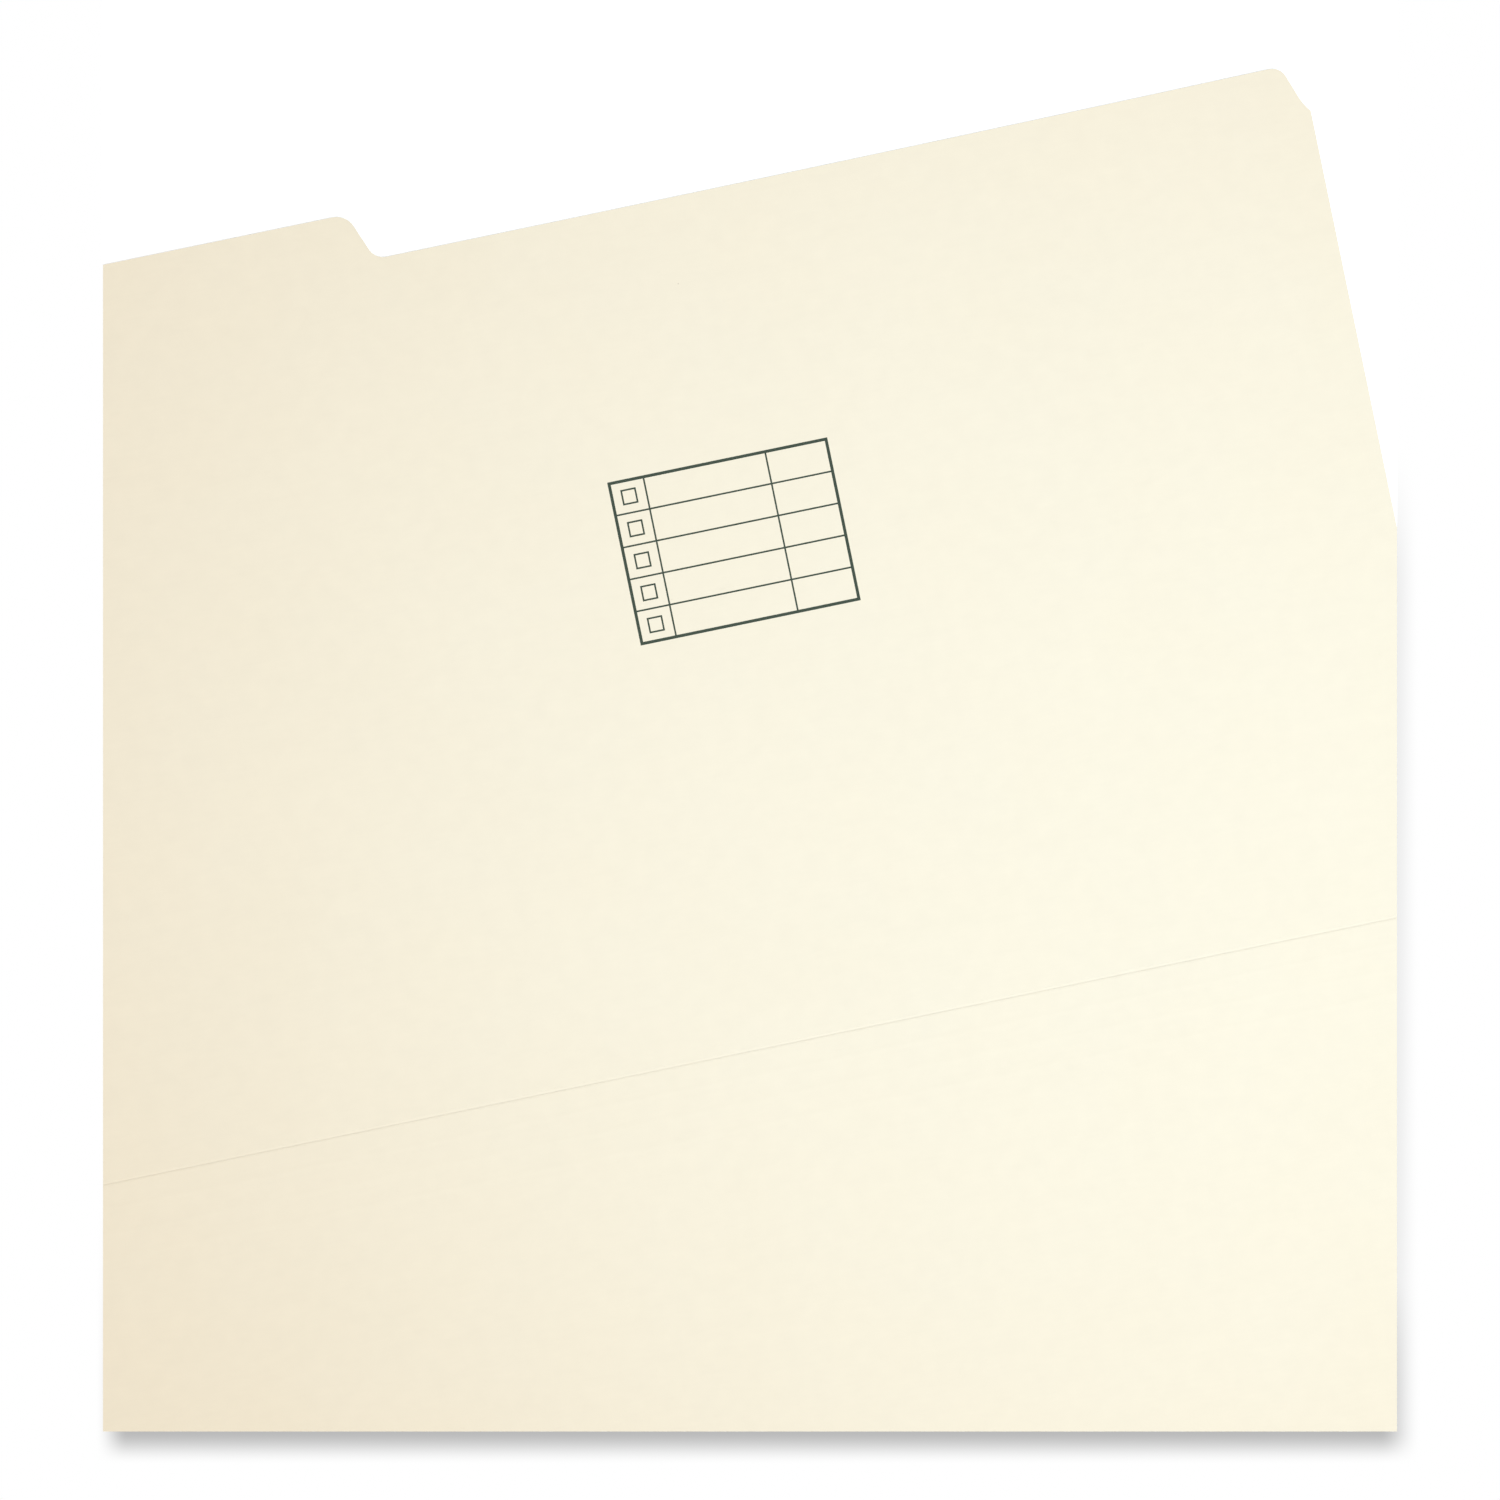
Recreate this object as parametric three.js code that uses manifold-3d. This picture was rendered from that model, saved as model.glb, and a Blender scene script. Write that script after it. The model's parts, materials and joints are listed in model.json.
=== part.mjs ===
// A legal-size manila file folder, lying open and flat with its inside face up.
//
// The folder is one die-cut sheet of board. Four scores divide it into a rear panel that carries the tab,
// three narrow expansion strips and a front panel. Each of these turns about its score as the folder
// closes, so each is a mesh of its own, and neighbours meet face to face along their score.
//
// Units are millimetres. +X runs along the scores, +Y points to the tab's top edge and +Z points up from
// the inside face. The origin is the middle of the sheet's underside.

import * as THREE from 'three';
import { mergeVertices } from 'three/addons/utils/BufferGeometryUtils.js';
import Module from 'manifold-3d';

const INCH = 25.4;
const DEGREE = Math.PI / 180;

// The sheet
const sheetWidth = 14.75 * INCH;
const boardThickness = 0.28; // 11 point board

// Heights above and below the main score
const undercutHeight = 8.625 * INCH; // the rear panel's edge beside the tab
const undercutRise = 1.3; // that edge climbs a little from the tab's foot to the far corner
const frontHeight = 8.375 * INCH; // from the main score to the front panel's free edge

// The tab, cut to a third of the folder at the left, and the sloped end that leads down to the undercut
const tabHeight = 0.5 * INCH;
const tabLength = 128.7; // from the sheet's left side to halfway down the slope
const tabSlope = 21.6 * DEGREE; // from the vertical
const tabShoulderRadius = 5.2;
const tabFootRadius = 4.4;

// The cut-back corners at both ends of the rear panel's top: a rounded shoulder, a straight slope, and a
// flare that runs out at the sheet's side
const cornerSlope = 20 * DEGREE; // from the vertical
const cornerShoulderRadius = 4;
const cornerFlareRadius = 14;
const cornerFlareInset = 2.4; // where the slope turns into the flare, in from the sheet's side
const cornerFlareDrop = 8.45; // and below the corner's top

// The front panel's free corners
const frontCornerRadius = 4.8;

// The scores: a main one, and one below it for each quarter inch that the folder can grow
const expansionStrips = 3;
const expansionPitch = 0.25 * INCH;
const scoreWidth = 0.7;
const scoreDepth = 0.1;

// How finely round stretches and the long curve of the undercut are drawn
const arcSteps = 10;
const undercutSteps = 16;
// How far a cutting tool reaches past what it cuts, as a share of its own size
const overcut = 1;

// Places that follow from the sizes
const halfWidth = sheetWidth / 2;
const mainScoreY = (frontHeight - undercutHeight - tabHeight) / 2;
const undercutY = mainScoreY + undercutHeight;
const tabTopY = undercutY + tabHeight;
const frontEdgeY = mainScoreY - frontHeight;
const scoreYs = Array.from({ length: expansionStrips + 1 }, (_, index) => mainScoreY - index * expansionPitch);

const wasm = await Module();
wasm.setup();

// Points on a circle from one angle to another, the short way round
function arc(centre, radius, from, to) {
  return new THREE.EllipseCurve(centre.x, centre.y, radius, radius, from, to, to < from).getPoints(arcSteps);
}

// The centre of the fillet between a level edge and a slope that falls to the right. The slope leans
// by `slope` from the vertical and passes through `point`. The fillet lies under the level edge (side -1)
// on the slope's left, or over it (side 1) on the slope's right.
function filletCentre(levelY, point, slope, radius, side) {
  const y = levelY + side * radius;
  const slopeX = point.x - (y - point.y) * Math.tan(slope);
  return new THREE.Vector2(slopeX + (side * radius) / Math.cos(slope), y);
}

// The cut-back corner at the right end of a level edge, from the sheet's side up and inwards
function cutBackCorner(topY) {
  const flareStart = new THREE.Vector2(halfWidth - cornerFlareInset, topY - cornerFlareDrop);
  const alongFlare = new THREE.Vector2(Math.cos(cornerSlope), Math.sin(cornerSlope));
  const flareCentre = flareStart.clone().addScaledVector(alongFlare, cornerFlareRadius);
  const sideAngle = Math.PI + Math.acos((flareCentre.x - halfWidth) / cornerFlareRadius);
  const shoulderCentre = filletCentre(topY, flareStart, cornerSlope, cornerShoulderRadius, -1);
  return [
    ...arc(flareCentre, cornerFlareRadius, sideAngle, Math.PI + cornerSlope),
    ...arc(shoulderCentre, cornerShoulderRadius, cornerSlope, Math.PI / 2),
  ];
}

// The same corner at the left end, from the level edge outwards and down
function cutBackCornerLeft(topY) {
  return cutBackCorner(topY)
    .map((point) => new THREE.Vector2(-point.x, point.y))
    .reverse();
}

// The tab's sloped end, from its foot on the undercut up to its top edge
function tabEnd() {
  const middle = new THREE.Vector2(tabLength - halfWidth, (undercutY + tabTopY) / 2);
  const footCentre = filletCentre(undercutY, middle, tabSlope, tabFootRadius, 1);
  const shoulderCentre = filletCentre(tabTopY, middle, tabSlope, tabShoulderRadius, -1);
  return [
    ...arc(footCentre, tabFootRadius, 1.5 * Math.PI, Math.PI + tabSlope),
    ...arc(shoulderCentre, tabShoulderRadius, tabSlope, Math.PI / 2),
  ];
}

// The undercut edge between two points, a parabola that is level at the tab's foot
function undercutEdge(cornerEnd, tabFoot) {
  const control = new THREE.Vector2((cornerEnd.x + tabFoot.x) / 2, tabFoot.y);
  return new THREE.QuadraticBezierCurve(cornerEnd, control, tabFoot).getPoints(undercutSteps).slice(1, -1);
}

function rearPanelOutline() {
  const corner = cutBackCorner(undercutY + undercutRise);
  const tab = tabEnd();
  return [
    new THREE.Vector2(-halfWidth, mainScoreY),
    new THREE.Vector2(halfWidth, mainScoreY),
    ...corner,
    ...undercutEdge(corner.at(-1), tab[0]),
    ...tab,
    ...cutBackCornerLeft(tabTopY),
  ];
}

function stripOutline(topY, bottomY) {
  return [
    new THREE.Vector2(-halfWidth, bottomY),
    new THREE.Vector2(halfWidth, bottomY),
    new THREE.Vector2(halfWidth, topY),
    new THREE.Vector2(-halfWidth, topY),
  ];
}

function frontPanelOutline(topY) {
  const inX = halfWidth - frontCornerRadius;
  const inY = frontEdgeY + frontCornerRadius;
  return [
    new THREE.Vector2(halfWidth, topY),
    new THREE.Vector2(-halfWidth, topY),
    ...arc(new THREE.Vector2(-inX, inY), frontCornerRadius, Math.PI, 1.5 * Math.PI),
    ...arc(new THREE.Vector2(inX, inY), frontCornerRadius, 1.5 * Math.PI, 2 * Math.PI),
  ];
}

// A closed geometry as a solid that can be cut
function toSolid(geometry) {
  geometry.deleteAttribute('normal');
  geometry.deleteAttribute('uv');
  const merged = mergeVertices(geometry);
  const vertProperties = new Float32Array(merged.attributes.position.array);
  const triVerts = new Uint32Array(merged.index.array);
  return new wasm.Manifold(new wasm.Mesh({ numProp: 3, vertProperties, triVerts }));
}

// A cut solid as a geometry to show
function toGeometry(solid) {
  const mesh = solid.getMesh();
  const geometry = new THREE.BufferGeometry();
  geometry.setAttribute('position', new THREE.BufferAttribute(mesh.vertProperties, 3));
  geometry.setIndex(new THREE.BufferAttribute(mesh.triVerts, 1));
  geometry.computeVertexNormals();
  return geometry;
}

// The V-shaped bar that presses a score into the inside face: its edge runs along the score's root
function scoreCutter(y) {
  const rootZ = boardThickness - scoreDepth;
  const reach = 1 + overcut;
  const profile = new THREE.Shape([
    new THREE.Vector2(y, rootZ),
    new THREE.Vector2(y + (reach * scoreWidth) / 2, rootZ + reach * scoreDepth),
    new THREE.Vector2(y - (reach * scoreWidth) / 2, rootZ + reach * scoreDepth),
  ]);
  const bar = new THREE.ExtrudeGeometry(profile, { depth: reach * sheetWidth, bevelEnabled: false });
  const alongX = new THREE.Matrix4().makeBasis(
    new THREE.Vector3(0, 1, 0),
    new THREE.Vector3(0, 0, 1),
    new THREE.Vector3(1, 0, 0),
  );
  bar.applyMatrix4(alongX).translate((-reach * sheetWidth) / 2, 0, 0);
  return toSolid(bar);
}

// One panel of the sheet, with half of each score that bounds it pressed into its inside face
function panel(name, outline, color, scores) {
  const board = new THREE.ExtrudeGeometry(new THREE.Shape(outline), { depth: boardThickness, bevelEnabled: false });
  const scored = scores.reduce((solid, y) => solid.subtract(scoreCutter(y)), toSolid(board));
  const material = new THREE.MeshStandardMaterial({ color, roughness: 0.85, metalness: 0 });
  const mesh = new THREE.Mesh(toGeometry(scored), material);
  mesh.name = name;
  return mesh;
}

const manila = 0xf7f3df;
const manilaStrip = 0xf1edd8;
const lastScoreY = scoreYs.at(-1);

const folder = new THREE.Group();
folder.add(panel('rear_panel', rearPanelOutline(), manila, [mainScoreY]));
for (let strip = 1; strip <= expansionStrips; strip += 1) {
  const [topY, bottomY] = [scoreYs[strip - 1], scoreYs[strip]];
  folder.add(panel(`expansion_strip_${strip}`, stripOutline(topY, bottomY), manilaStrip, [topY, bottomY]));
}
folder.add(panel('front_panel', frontPanelOutline(lastScoreY), manila, [lastScoreY]));

export default folder;
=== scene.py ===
"""A manila file folder lying open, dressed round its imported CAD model. Lengths are in metres."""

import json
import math

import bmesh
import bpy
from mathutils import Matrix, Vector


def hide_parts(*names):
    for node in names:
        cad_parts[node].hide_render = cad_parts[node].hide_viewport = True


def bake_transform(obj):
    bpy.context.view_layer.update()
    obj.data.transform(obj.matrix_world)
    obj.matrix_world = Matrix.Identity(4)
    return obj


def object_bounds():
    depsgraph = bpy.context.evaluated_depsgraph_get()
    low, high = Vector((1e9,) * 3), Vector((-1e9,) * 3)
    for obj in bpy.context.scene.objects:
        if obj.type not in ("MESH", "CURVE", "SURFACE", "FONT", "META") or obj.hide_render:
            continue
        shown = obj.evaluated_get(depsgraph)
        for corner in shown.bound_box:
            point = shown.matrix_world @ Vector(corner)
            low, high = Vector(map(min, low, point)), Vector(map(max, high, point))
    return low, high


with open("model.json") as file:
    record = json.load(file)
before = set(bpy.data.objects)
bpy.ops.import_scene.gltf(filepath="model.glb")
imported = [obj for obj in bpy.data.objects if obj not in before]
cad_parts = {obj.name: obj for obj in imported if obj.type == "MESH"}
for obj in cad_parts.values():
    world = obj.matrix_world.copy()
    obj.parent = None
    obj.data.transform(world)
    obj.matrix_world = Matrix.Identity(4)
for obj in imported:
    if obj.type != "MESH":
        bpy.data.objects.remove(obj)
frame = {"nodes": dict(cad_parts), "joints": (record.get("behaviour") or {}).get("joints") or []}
cad_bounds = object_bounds()

MM = 0.001
INCH = 0.0254

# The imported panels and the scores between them
PANELS = ["rear_panel", "expansion_strip_1", "expansion_strip_2", "expansion_strip_3", "front_panel"]
SCORE_YS = [joint["pos_m"][1] for joint in frame["joints"]]
MAIN_SCORE_Y, LAST_SCORE_Y = SCORE_YS[0], SCORE_YS[-1]
SHEET_LOW, SHEET_HIGH = cad_bounds
HALF_WIDTH = SHEET_HIGH.x
BOARD = SHEET_HIGH.z - SHEET_LOW.z

# How deep each score is pressed into the inside face, and half its width. The expansion scores stand up a
# little instead.
MAIN_DEPTH, MAIN_HALF = 0.09 * MM, 0.42 * MM
EXPANSION_DEPTH, EXPANSION_HALF = -0.028 * MM, 1.3 * MM

# The photograph and the camera in its place
PHOTO_SIZE = 1500
PIXELS_PER_INCH = 98.7
PHOTO_PIXEL = INCH / PIXELS_PER_INCH
PHOTO_CORNER = (1474.1, 901.3)  # the pixel where the sheet's right side would meet the main score
SHEET_TURN = math.radians(11.68)
CAMERA_HEIGHT = 1.5
SENSOR = 36.0  # millimetres, as the lens is
CLIP_START = 5 * MM


def sheet_place(pixel_x, pixel_y):
    """The point of the sheet's plane that a pixel of the photograph shows."""
    right = (pixel_x - PHOTO_CORNER[0]) * PHOTO_PIXEL
    up = (PHOTO_CORNER[1] - pixel_y) * PHOTO_PIXEL
    along = right * math.cos(SHEET_TURN) + up * math.sin(SHEET_TURN)
    across = up * math.cos(SHEET_TURN) - right * math.sin(SHEET_TURN)
    return Vector((HALF_WIDTH + along, MAIN_SCORE_Y + across, 0))


def add_object(name, data):
    made = bpy.data.objects.new(name, data)
    bpy.context.scene.collection.objects.link(made)
    return made


def add_flat_object(name, corners, material):
    """An object of one face."""
    mesh = bpy.data.meshes.new(name)
    mesh.from_pydata(corners, [], [range(len(corners))])
    mesh.materials.append(material)
    return add_object(name, mesh)


def add_camera():
    """Straight above the middle of the photograph, turned so that the sheet leans as it does there."""
    data = bpy.data.cameras.new("camera")
    data.sensor_width = SENSOR
    data.lens = SENSOR * CAMERA_HEIGHT / (PHOTO_SIZE * PHOTO_PIXEL)
    data.clip_start = CLIP_START
    camera = add_object("camera", data)
    camera.location = sheet_place(PHOTO_SIZE / 2, PHOTO_SIZE / 2) + Vector((0, 0, CAMERA_HEIGHT))
    camera.rotation_euler = (0, 0, -SHEET_TURN)
    bpy.context.scene.camera = camera
    return camera


# Shorthands for materials


def new_material(name):
    """A material, its node tree and its shader."""
    material = bpy.data.materials.new(name)
    material.use_nodes = True
    return material, material.node_tree, material.node_tree.nodes["Principled BSDF"]


def fill(tree, made, inputs):
    """Sets or links a node's inputs."""
    for name, value in inputs.items():
        if isinstance(value, bpy.types.NodeSocket):
            tree.links.new(value, made.inputs[name])
        else:
            made.inputs[name].default_value = value


def node(tree, kind, inputs=None, **settings):
    """A new node with its settings made and its inputs set or linked."""
    made = tree.nodes.new(kind)
    for name, value in settings.items():
        setattr(made, name, value)
    fill(tree, made, inputs or {})
    return made


def math_of(tree, operation, *values):
    return node(tree, "ShaderNodeMath", dict(enumerate(values)), operation=operation).outputs[0]


def product(tree, value, *factors):
    for factor in factors:
        value = math_of(tree, "MULTIPLY", value, factor)
    return value


def ramp(tree, value, start, end):
    """Rises smoothly from 0 at `start` to 1 at `end`, which may be the lower of the two."""
    low, high = min(start, end), max(start, end)
    inputs = {"Value": value, "From Min": low, "From Max": high}
    inputs.update({"To Min": float(start > end), "To Max": float(start < end)})
    return node(tree, "ShaderNodeMapRange", inputs, interpolation_type="SMOOTHSTEP").outputs["Result"]


def mix_shaders(tree, share, first, second):
    """The first node's shader where the share is 0, and the second's where it is 1."""
    inputs = {0: share, 1: first.outputs[0], 2: second.outputs[0]}
    return node(tree, "ShaderNodeMixShader", inputs).outputs[0]


def mix_colours(tree, share, first, second):
    """The first colour where the share is 0, and the second where it is 1."""
    return node(tree, "ShaderNodeMix", {0: share, 6: first, 7: second}, data_type="RGBA").outputs[2]


# The studio: an even warm room, a large lamp, and a soft cool pool of light on the sheet's right half

ROOM_LIGHT = (0.604, 0.534, 0.472, 1)
LAMP_PLACE = (2.2, -2.4, 3.2)
LAMP_SIZE = 1.8
LAMP_POWER = 90
LAMP_COLOUR = (1, 1, 1)
POOL_PLACE = (0.9, -0.6, 1.9)
POOL_MIDDLE = (1140, 760)  # in the photograph's pixels
POOL_SPREAD = math.radians(18)
POOL_RADIUS = 0.12
POOL_POWER = 66.7
POOL_COLOUR = (0.445, 0.736, 1.0)  # the photograph darkens and warms away from it, towards its left
FLOOR_SIZE = 6.0
FLOOR_DROP = 0.05 * MM  # the board's underside isn't in the floor's own plane
FLOOR_COLOUR = (0.88, 0.93, 0.98, 1)  # makes up for the warmth of the room's light
FLOOR_GLOW = 0.3  # what the floor adds for the camera, so that it reads white
FLOOR_FADE = (0.3, 1.3)  # between these distances it fades to the white of the background


def add_lamp(kind, name, place, aim, power, colour, **settings):
    data = bpy.data.lights.new(name, kind)
    data.energy = power
    data.color = colour
    for setting, value in settings.items():
        setattr(data, setting, value)
    lamp = add_object(name, data)
    lamp.location = place
    lamp.rotation_euler = (aim - Vector(place)).to_track_quat("-Z", "Y").to_euler()


def looked_at(tree):
    """1 for what the camera sees, straight or through gloss or glass, and 0 for what lights other things."""
    rays = node(tree, "ShaderNodeLightPath").outputs
    seen = math_of(tree, "MAXIMUM", rays["Is Camera Ray"], rays["Is Glossy Ray"])
    return math_of(tree, "MAXIMUM", seen, rays["Is Transmission Ray"])


def add_world():
    """A room that lights evenly and is white to look at."""
    world = bpy.data.worlds.new("studio")
    world.use_nodes = True
    tree = world.node_tree
    room = tree.nodes["Background"]
    fill(tree, room, {"Color": ROOM_LIGHT})
    white = node(tree, "ShaderNodeBackground", {"Color": (1, 1, 1, 1)})
    fill(tree, tree.nodes["World Output"], {"Surface": mix_shaders(tree, looked_at(tree), room, white)})
    bpy.context.scene.world = world


def add_lights():
    add_world()
    bpy.context.scene.view_settings.view_transform = "Standard"
    add_lamp("AREA", "lamp", LAMP_PLACE, Vector(), LAMP_POWER, LAMP_COLOUR, size=LAMP_SIZE)
    aim = sheet_place(*POOL_MIDDLE)
    pool = {"spot_size": POOL_SPREAD, "spot_blend": 1.0, "shadow_soft_size": POOL_RADIUS}
    add_lamp("SPOT", "pool", POOL_PLACE, aim, POOL_POWER, POOL_COLOUR, **pool)


def floor_material():
    """Plain and pale, with a glow that only shows when the floor is looked at, so it lights nothing."""
    material, tree, shader = new_material("floor")
    fill(tree, shader, {"Base Color": FLOOR_COLOUR, "Roughness": 1.0, "Specular IOR Level": 0.0})
    place = node(tree, "ShaderNodeTexCoord").outputs["Object"]
    distance = node(tree, "ShaderNodeVectorMath", {0: place}, operation="LENGTH").outputs["Value"]
    strength = math_of(tree, "MAXIMUM", ramp(tree, distance, *FLOOR_FADE), FLOOR_GLOW)
    glow = node(tree, "ShaderNodeEmission", {"Strength": product(tree, strength, looked_at(tree))})
    both = node(tree, "ShaderNodeAddShader", {0: shader.outputs[0], 1: glow.outputs[0]})
    fill(tree, tree.nodes["Material Output"], {"Surface": both.outputs[0]})
    return material


def add_floor():
    half = FLOOR_SIZE / 2
    corners = [(-half, -half), (half, -half), (half, half), (-half, half)]
    floor = add_flat_object("floor", [(x, y, -FLOOR_DROP) for x, y in corners], floor_material())


# The crop card: it hides the strips where the photograph is cut off, and has the soft grey rim seen there, a
# painted shadow along the cut

CROP_LEFT, CROP_RIGHT, CROP_BOTTOM = 103, 1397, 1431.5
CARD_DISTANCE = 10 * MM
CARD_REACH = 20 * MM  # a view from further off looks through it
CARD_SPARE = 150  # how far it reaches past the picture, in pixels

# How dark the rim's painted shadow is below and beside the sheet, and where its left, right, top and bottom
# start and where they are full
PAINTED_SHADOW_BELOW_DEPTH = 0.51
PAINTED_SHADOW_BELOW = ((95, 128), (1421, 1379), (1162, 1396), (1465, 1431))
PAINTED_SHADOW_BESIDE_DEPTH = 0.175
PAINTED_SHADOW_BESIDE = ((1380, 1390), (1420, 1390), (440, 604), (1465, 1431))


def soft_box(tree, x, y, left, right, top, bottom):
    """A mask of a box with soft sides. Each side is where it starts and where it is full."""
    across = product(tree, ramp(tree, x, *left), ramp(tree, x, *right))
    down = product(tree, ramp(tree, y, *top), ramp(tree, y, *bottom))
    return product(tree, across, down)


def card_material():
    """White but for the rim, which is a painted shadow, and clear to a view from further off."""
    material, tree, _ = new_material("crop_card")
    place = node(tree, "ShaderNodeTexCoord").outputs["Object"]
    axes = node(tree, "ShaderNodeSeparateXYZ", {"Vector": place}).outputs
    x, y = axes["X"], product(tree, axes["Y"], -1.0)
    # The rim below and beside the sheet is a painted shadow that darkens the card's white
    below = product(tree, soft_box(tree, x, y, *PAINTED_SHADOW_BELOW), PAINTED_SHADOW_BELOW_DEPTH)
    beside = product(tree, soft_box(tree, x, y, *PAINTED_SHADOW_BESIDE), PAINTED_SHADOW_BESIDE_DEPTH)
    shade = math_of(tree, "MAXIMUM", below, beside)
    white = node(tree, "ShaderNodeEmission", {"Strength": math_of(tree, "SUBTRACT", 1.0, shade)})
    clear = node(tree, "ShaderNodeBsdfTransparent")
    ray_length = node(tree, "ShaderNodeLightPath").outputs["Ray Length"]
    far = math_of(tree, "GREATER_THAN", ray_length, CARD_REACH)
    fill(tree, tree.nodes["Material Output"], {"Surface": mix_shaders(tree, far, white, clear)})
    return material


def add_crop_card(camera):
    """Close in front of the lens, and seen by the camera alone. Its own coordinates are the photograph's
    pixels, with y downwards as negative."""
    low, high = -CARD_SPARE, PHOTO_SIZE + CARD_SPARE
    window = [(CROP_LEFT, low), (CROP_LEFT, CROP_BOTTOM), (CROP_RIGHT, CROP_BOTTOM), (CROP_RIGHT, low)]
    outline = window + [(high, low), (high, high), (low, high), (low, low)]
    card = add_flat_object("crop_card", [(x, -y, 0) for x, y in outline], card_material())
    pixel = PHOTO_PIXEL * CARD_DISTANCE / CAMERA_HEIGHT
    to_corner = Vector((-PHOTO_SIZE / 2, PHOTO_SIZE / 2, -CARD_DISTANCE / pixel)) * pixel
    to_corner.rotate(camera.rotation_euler)
    card.location = camera.location + to_corner
    card.rotation_euler = camera.rotation_euler
    card.scale = (pixel, pixel, pixel)
    for rays in ("diffuse", "glossy", "transmission", "volume_scatter", "shadow"):
        setattr(card, "visible_" + rays, False)


# The manila board's material. All its sizes are in millimetres.

PLACE = "sheet_mm"  # the attribute that holds each point's place on the flat sheet
GRAIN_STRETCH = (0.16, 1, 1)  # the fibres lie along the scores

# Its colour swings between these two in patches, and gets lighter and darker with the board's cloudy
# formation, flock and grain
STOCK_COLOURS = [(0.943, 0.886, 0.720, 1), (0.937, 0.890, 0.736, 1)]
PATCH_SIZE = 30
CLOUD_SIZE, CLOUD_SWING = 45, 0.01
FLOCK_SIZE, FLOCK_SWING = 5, 0.02
GRAIN_SIZE, GRAIN_SWING = 0.9, 0.009

# Along the main score the colour is darker, partly for its crushed fibres and partly as painted shade in its
# crease, and most of the core between the board's two skins, whose fibres lie in layers, is darker too
SCORE_CRUSH_AND_SHADE = 0.07
SKIN_SHARE = 0.2  # of the board's thickness
CORE_SIZE = 0.5
CORE_STRETCH = (1, 1, 12)
CORE_LIFT = 0.02
CORE_SHADE = 0.2

SPECK_SPACING = 17
SPECK_RADIUS = 0.16
SPECK_SHARE = 0.35  # of the places that could have one
SPECK_STRENGTH = 0.35
SPECK_COLOUR = (0.30, 0.20, 0.12, 1)

# Gloss of a calendered but uncoated face, and its relief
GLOSS_SIZE = 1.4
BOARD_ROUGHNESS = (0.74, 0.9)
BOARD_SPECULAR = 0.3
PULP_SIZE = 1.6
FIBRE_SIZE = 0.45
FIBRE_SHARE = 0.5  # of the pulp's height
RELIEF_HEIGHT = 0.014
RELIEF_STRENGTH = 0.25


def sheet_coordinates(tree, stretch=(1, 1, 1)):
    """Each point's place on the flat sheet in millimetres, scaled along each axis. A pattern that reads it
    stays on the board when it folds."""
    place = node(tree, "ShaderNodeAttribute", attribute_name=PLACE).outputs["Vector"]
    inputs = {0: place, 1: stretch}
    return node(tree, "ShaderNodeVectorMath", inputs, operation="MULTIPLY").outputs[0]


def sheet_axis(tree, axis):
    """Each point's place on the flat sheet along one axis, in millimetres."""
    place = node(tree, "ShaderNodeAttribute", attribute_name=PLACE).outputs["Vector"]
    return node(tree, "ShaderNodeSeparateXYZ", {"Vector": place}).outputs[axis]


def noise(tree, coordinates, size, detail=2.0, roughness=0.5):
    """Noise whose blobs are about `size` millimetres across, from 0 to 1 round 0.5."""
    inputs = {"Vector": coordinates, "Scale": 1 / size, "Detail": detail, "Roughness": roughness}
    return node(tree, "ShaderNodeTexNoise", inputs).outputs["Fac"]


def swing(tree, value, amount):
    """A 0 to 1 pattern turned into a factor that swings round 1 by up to `amount` each way."""
    centred = math_of(tree, "SUBTRACT", value, 0.5)
    return math_of(tree, "MULTIPLY_ADD", centred, 2 * amount, 1.0)


def shaded(tree, mask, amount):
    """A factor that is 1 where the mask is 0, and differs from it by `amount` where the mask is 1."""
    return math_of(tree, "MULTIPLY_ADD", mask, amount, 1.0)


def specks(tree, coordinates):
    """A mask of small round specks, at most one for each square of their spacing."""
    inputs = {"Vector": coordinates, "Scale": 1 / SPECK_SPACING, "Randomness": 1.0}
    cells = node(tree, "ShaderNodeTexVoronoi", inputs, feature="F1")
    near = math_of(tree, "LESS_THAN", cells.outputs["Distance"], SPECK_RADIUS / SPECK_SPACING)
    pick = node(tree, "ShaderNodeSeparateColor", {"Color": cells.outputs["Color"]}).outputs["Red"]
    return product(tree, near, math_of(tree, "LESS_THAN", pick, SPECK_SHARE))


def crushed_and_shaded_score(tree):
    """A mask along the main score, where the colour is darkened for its crushed fibres and as painted shade
    in its crease.
    """
    away = math_of(tree, "SUBTRACT", sheet_axis(tree, "Y"), MAIN_SCORE_Y / MM)
    return ramp(tree, math_of(tree, "ABSOLUTE", away), MAIN_HALF / MM, 0.0)


def cut_edge(tree):
    """A mask of the faces where the board was cut, between its two skins."""
    height = sheet_axis(tree, "Z")
    thickness = BOARD / MM
    above = ramp(tree, height, 0.0, SKIN_SHARE * thickness)
    below = ramp(tree, height, thickness, (1 - SKIN_SHARE) * thickness)
    return product(tree, above, below)


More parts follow.
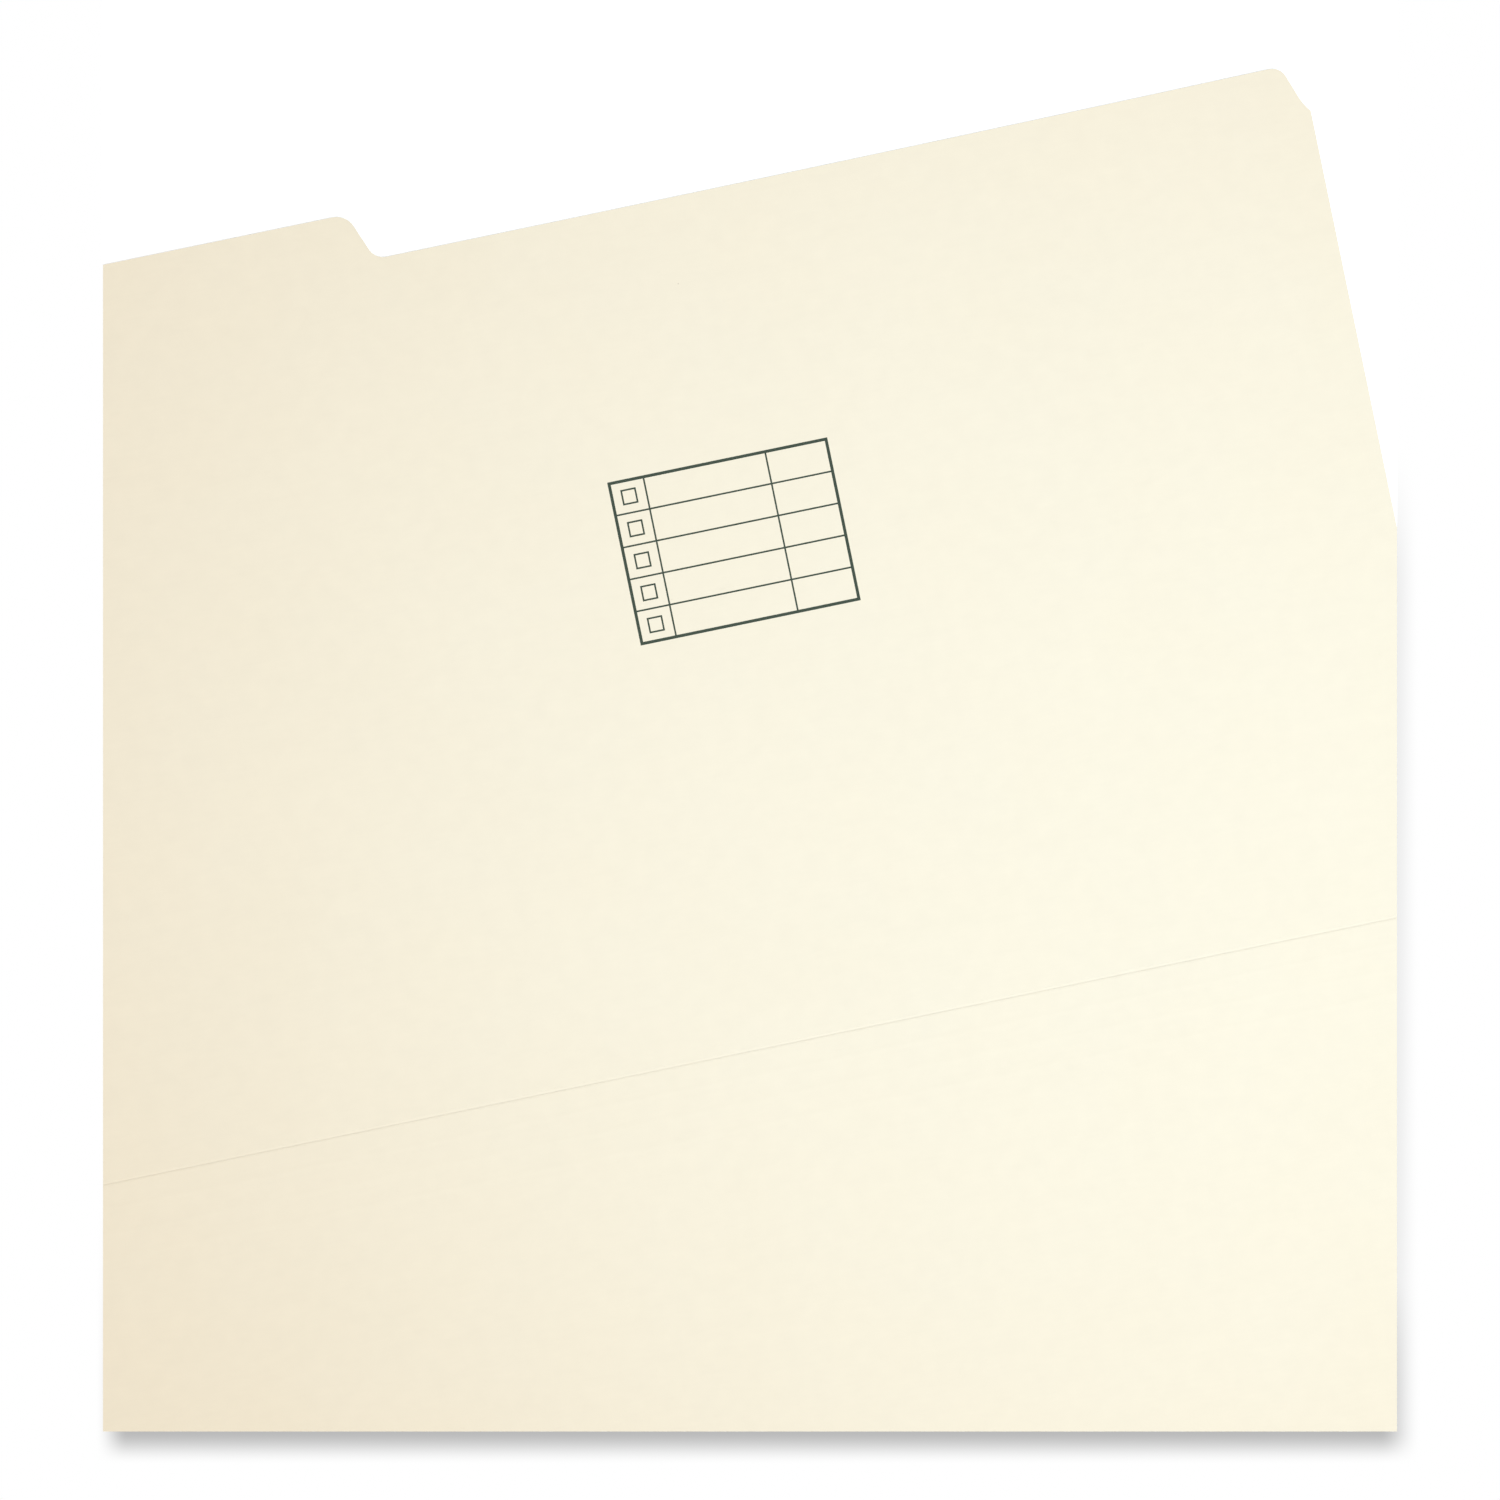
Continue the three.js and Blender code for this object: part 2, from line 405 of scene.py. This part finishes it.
def board_colour(tree):
    flat = sheet_coordinates(tree)
    cloud = swing(tree, noise(tree, flat, CLOUD_SIZE, detail=3), CLOUD_SWING)
    flock = swing(tree, noise(tree, flat, FLOCK_SIZE, detail=3, roughness=0.45), FLOCK_SWING)
    grain = swing(tree, noise(tree, sheet_coordinates(tree, GRAIN_STRETCH), GRAIN_SIZE), GRAIN_SWING)
    # Painted shade in the main score's crease, together with its crushed fibres, darkens the colour there
    score_darkening = shaded(tree, crushed_and_shaded_score(tree), -SCORE_CRUSH_AND_SHADE)
    layers = noise(tree, sheet_coordinates(tree, CORE_STRETCH), CORE_SIZE, detail=3)
    core = shaded(tree, cut_edge(tree), math_of(tree, "MULTIPLY_ADD", layers, -CORE_SHADE, CORE_LIFT))
    tone = product(tree, cloud, flock, grain, score_darkening, core)
    stock = mix_colours(tree, noise(tree, flat, PATCH_SIZE), *STOCK_COLOURS)
    toned = node(tree, "ShaderNodeVectorMath", {0: stock, "Scale": tone}, operation="SCALE").outputs[0]
    return mix_colours(tree, product(tree, specks(tree, flat), SPECK_STRENGTH), toned, SPECK_COLOUR)


def board_roughness(tree):
    shine = noise(tree, sheet_coordinates(tree), GLOSS_SIZE, detail=3)
    smoothest, roughest = BOARD_ROUGHNESS
    inputs = {"Value": shine, "To Min": smoothest, "To Max": roughest}
    return node(tree, "ShaderNodeMapRange", inputs).outputs["Result"]


def board_relief(tree):
    """The fibres and pulp that the light picks out."""
    fibres = noise(tree, sheet_coordinates(tree, GRAIN_STRETCH), FIBRE_SIZE, detail=4, roughness=0.6)
    pulp = noise(tree, sheet_coordinates(tree), PULP_SIZE, detail=3)
    height = math_of(tree, "ADD", product(tree, fibres, FIBRE_SHARE), pulp)
    inputs = {"Height": height, "Strength": RELIEF_STRENGTH, "Distance": RELIEF_HEIGHT * MM}
    return node(tree, "ShaderNodeBump", inputs).outputs["Normal"]


def manila_material():
    material, tree, shader = new_material("manila_finish")
    fill(tree, shader, {
        "Base Color": board_colour(tree),
        "Roughness": board_roughness(tree),
        "Specular IOR Level": BOARD_SPECULAR,
        "Normal": board_relief(tree),
    })
    return material


# The generic record table printed on the rear panel: plain rules, with nothing written in it

PRINT_CORNER = (609, 484)  # its top left corner, in the photograph's pixels
PRINT_WIDTH = 57 * MM
PRINT_ROWS = 5
PRINT_ROW = 8.4 * MM
PRINT_COLUMNS = [9 * MM, 41 * MM]  # the dividers, from the table's left
FRAME_RULE = 0.8 * MM
INNER_RULE = 0.45 * MM
TICK_BOX = 3.6 * MM

INK_COLOUR = (0.044, 0.066, 0.046, 1)
THIN_INK_COLOUR = (0.25, 0.27, 0.22, 1)
INK_GRAIN = 0.5  # millimetres
INK_THINS = (0.62, 0.82)  # the heights of the board's grain between which the ink gets thin
INK_ROUGHNESS = 0.7
INK_SPECULAR = 0.3


def ink_material():
    """Dark green-grey ink, a little broken by the board's grain."""
    material, tree, shader = new_material("printing_ink")
    grain = noise(tree, sheet_coordinates(tree), INK_GRAIN, detail=3, roughness=0.7)
    start, end = INK_THINS
    thin = node(tree, "ShaderNodeMapRange", {"Value": grain, "From Min": start, "From Max": end})
    fill(tree, shader, {
        "Base Color": mix_colours(tree, thin.outputs["Result"], INK_COLOUR, THIN_INK_COLOUR),
        "Roughness": INK_ROUGHNESS,
        "Specular IOR Level": INK_SPECULAR,
    })
    return material


def table_rules():
    """Each inked bar as its lowest and highest x and y."""
    corner = sheet_place(*PRINT_CORNER)
    left, top = corner.x, corner.y
    right, bottom = left + PRINT_WIDTH, top - PRINT_ROWS * PRINT_ROW
    rules = []

    def level(x0, x1, y, width):
        rules.append((x0, x1, y - width / 2, y + width / 2))

    def upright(x, y0, y1, width):
        rules.append((x - width / 2, x + width / 2, y0, y1))

    for row in range(PRINT_ROWS + 1):
        width = FRAME_RULE if row in (0, PRINT_ROWS) else INNER_RULE
        level(left - FRAME_RULE / 2, right + FRAME_RULE / 2, top - row * PRINT_ROW, width)
    for x in (left, right):
        upright(x, bottom, top, FRAME_RULE)
    for offset in PRINT_COLUMNS:
        upright(left + offset, bottom, top, INNER_RULE)
    box_x, half = left + PRINT_COLUMNS[0] / 2, TICK_BOX / 2
    reach = half + INNER_RULE / 2
    for row in range(PRINT_ROWS):
        box_y = top - (row + 0.5) * PRINT_ROW
        for side in (-half, half):
            level(box_x - reach, box_x + reach, box_y + side, INNER_RULE)
            upright(box_x + side, box_y - half, box_y + half, INNER_RULE)
    return rules


# The board: one sheet, cut into fine faces, pressed, curled and parted where nothing bends

# The pieces that are shown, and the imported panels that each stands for. Each strip lies half in one piece
# and half in the next.
PIECES = {
    "rear_panel_board": ["rear_panel", "expansion_strip_1"],
    "strip_board_1": ["expansion_strip_2"],
    "strip_board_2": ["expansion_strip_3"],
    "front_panel_board": ["front_panel"],
}
GRID = 5 * MM
CREASE_ROWS = [0.08, 0.18, 0.3, 0.45, 0.65, 0.9, 1.3, 2.0]  # millimetres either side of a score
OUTER_SHARE = 0.5  # how much of a score's depth shows as a ridge on the outside face
REAR_BULGE = 0.3 * MM
# How far the front panel's free edge lifts off the table, and how much more at its corners. The higher the
# power, the nearer to the edge or the corner the lift stays.
FRONT_LIFT, FRONT_POWER = 2.0 * MM, 4
RIGHT_LIFT, LEFT_LIFT, CORNER_POWER = 1.5 * MM, 2.5 * MM, 3
SAME_PLACE = 0.001 * MM  # corners as near as this are one corner
CUT_SNAP = 0.0005 * MM  # a cut as near as this to a corner goes through it
CUT_DIGITS = 8  # cuts at the same place to so many digits of a metre are one cut
FLAT_ANGLE = 0.01  # faces that meet at less are one face, in radians
SHARP_ANGLE = math.radians(40)


def smooth(value):
    """Rises smoothly from 0 at 0 to 1 at 1."""
    value = min(max(value, 0.0), 1.0)
    return value * value * (3 - 2 * value)


def curl(x, y):
    """How far the opened sheet stands off the table at a point."""
    if y > MAIN_SCORE_Y:
        share = (y - MAIN_SCORE_Y) / (SHEET_HIGH.y - MAIN_SCORE_Y)
        return REAR_BULGE * math.sin(math.pi * share) ** 2
    if y < LAST_SCORE_Y:
        share = (LAST_SCORE_Y - y) / (LAST_SCORE_Y - SHEET_LOW.y)
        side = x / HALF_WIDTH
        right, left = ((1 + side) / 2) ** CORNER_POWER, ((1 - side) / 2) ** CORNER_POWER
        return share ** FRONT_POWER * (FRONT_LIFT + RIGHT_LIFT * right + LEFT_LIFT * left)
    return 0.0


def press(y):
    """How deep the inside face is pressed in at a height on the sheet."""
    depth = MAIN_DEPTH * (1 - smooth(abs(y - MAIN_SCORE_Y) / MAIN_HALF))
    for score_y in SCORE_YS[1:]:
        depth += EXPANSION_DEPTH * (1 - smooth(abs(y - score_y) / EXPANSION_HALF))
    return depth


def joined_board():
    """The five CAD panels as one closed sheet, without the faces where they meet."""
    board = bmesh.new()
    for name in PANELS:
        board.from_mesh(frame["nodes"][name].data)
    bmesh.ops.remove_doubles(board, verts=board.verts, dist=SAME_PLACE)
    inside = [
        face
        for face in board.faces
        for y in SCORE_YS
        if all(abs(corner.co.y - y) < SAME_PLACE for corner in face.verts)
    ]
    bmesh.ops.delete(board, geom=inside, context="FACES")
    bmesh.ops.dissolve_limit(board, angle_limit=FLAT_ANGLE, verts=board.verts, edges=board.edges)
    return board


def cut_across(board, axis, place, **clear):
    """Cuts the board square to an axis, and drops what lies outside or inside the cut if asked to."""
    normal = Vector((1, 0, 0)) if axis == "x" else Vector((0, 1, 0))
    everything = board.verts[:] + board.edges[:] + board.faces[:]
    bmesh.ops.bisect_plane(
        board, geom=everything, dist=CUT_SNAP, plane_co=normal * place, plane_no=normal, **clear
    )


def grid_lines(low, high):
    count = round((high - low) / GRID)
    return [low + (high - low) * step / count for step in range(1, count)]


def cut_into_faces(board, rules):
    """Cuts the sheet along a grid, along rows beside each score, and along the edges of the print."""
    xs = grid_lines(SHEET_LOW.x, SHEET_HIGH.x) + [x for rule in rules for x in rule[:2]]
    ys = grid_lines(SHEET_LOW.y, SHEET_HIGH.y) + [y for rule in rules for y in rule[2:]]
    for score_y in SCORE_YS:
        ys += [score_y + side * row * MM for row in CREASE_ROWS for side in (-1, 1)] + [score_y]
    for axis, places in (("x", xs), ("y", ys)):
        for place in sorted(set(round(place, CUT_DIGITS) for place in places)):
            cut_across(board, axis, place)


def part_of(board, top, bottom):
    """A copy of the board between two heights, closed where it was cut."""
    part = board.copy()
    for place, clear in ((top, {"clear_outer": True}), (bottom, {"clear_inner": True})):
        if place is not None:
            cut_across(part, "y", place, **clear)
    rim = [edge for edge in part.edges if edge.is_boundary]
    bmesh.ops.holes_fill(part, edges=rim, sides=0)
    return part


def shape_part(part):
    """Presses and curls the flat board, after it has noted each corner's place on the flat sheet."""
    place = part.verts.layers.float_vector.new(PLACE)
    for corner in part.verts:
        x, y, z = corner.co
        inside, outside = BOARD - press(y), -OUTER_SHARE * press(y)
        is_inside = z > BOARD / 2
        corner[place] = Vector((x, y, BOARD if is_inside else 0.0)) / MM
        corner.co.z = curl(x, y) + (inside if is_inside else outside)


def is_inked(face, rules):
    """Whether a face of the flat board lies on its inside and under one of the rules."""
    middle = face.calc_center_median()
    if middle.z < BOARD / 2 or face.normal.z < 0.5:
        return False
    return any(x0 < middle.x < x1 and y0 < middle.y < y1 for x0, x1, y0, y1 in rules)


def add_part(name, part, rules, materials):
    """Makes a shown piece of a part of the board."""
    part.normal_update()
    for face in part.faces:
        face.material_index = int(is_inked(face, rules))
        face.smooth = True
    shape_part(part)
    mesh = bpy.data.meshes.new(name)
    part.to_mesh(mesh)
    part.free()
    for material in materials:
        mesh.materials.append(material)
    mesh.set_sharp_from_angle(angle=SHARP_ANGLE)
    return add_object(name, mesh)


def add_board():
    """The shown pieces. Each spans one score, and they meet halfway across the strips."""
    rules = table_rules()
    board = joined_board()
    cut_into_faces(board, rules)
    middles = [(above + below) / 2 for above, below in zip(SCORE_YS, SCORE_YS[1:])]
    tops, bottoms = [None, *middles], [*middles, None]
    manila, ink = manila_material(), ink_material()
    for index, (name, stands_for) in enumerate(PIECES.items()):
        materials = [manila, ink] if index == 0 else [manila]
        piece = add_part(name, part_of(board, tops[index], bottoms[index]), rules, materials)
        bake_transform(piece)
        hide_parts(*stands_for)
    board.free()


add_crop_card(add_camera())
add_lights()
add_floor()
add_board()
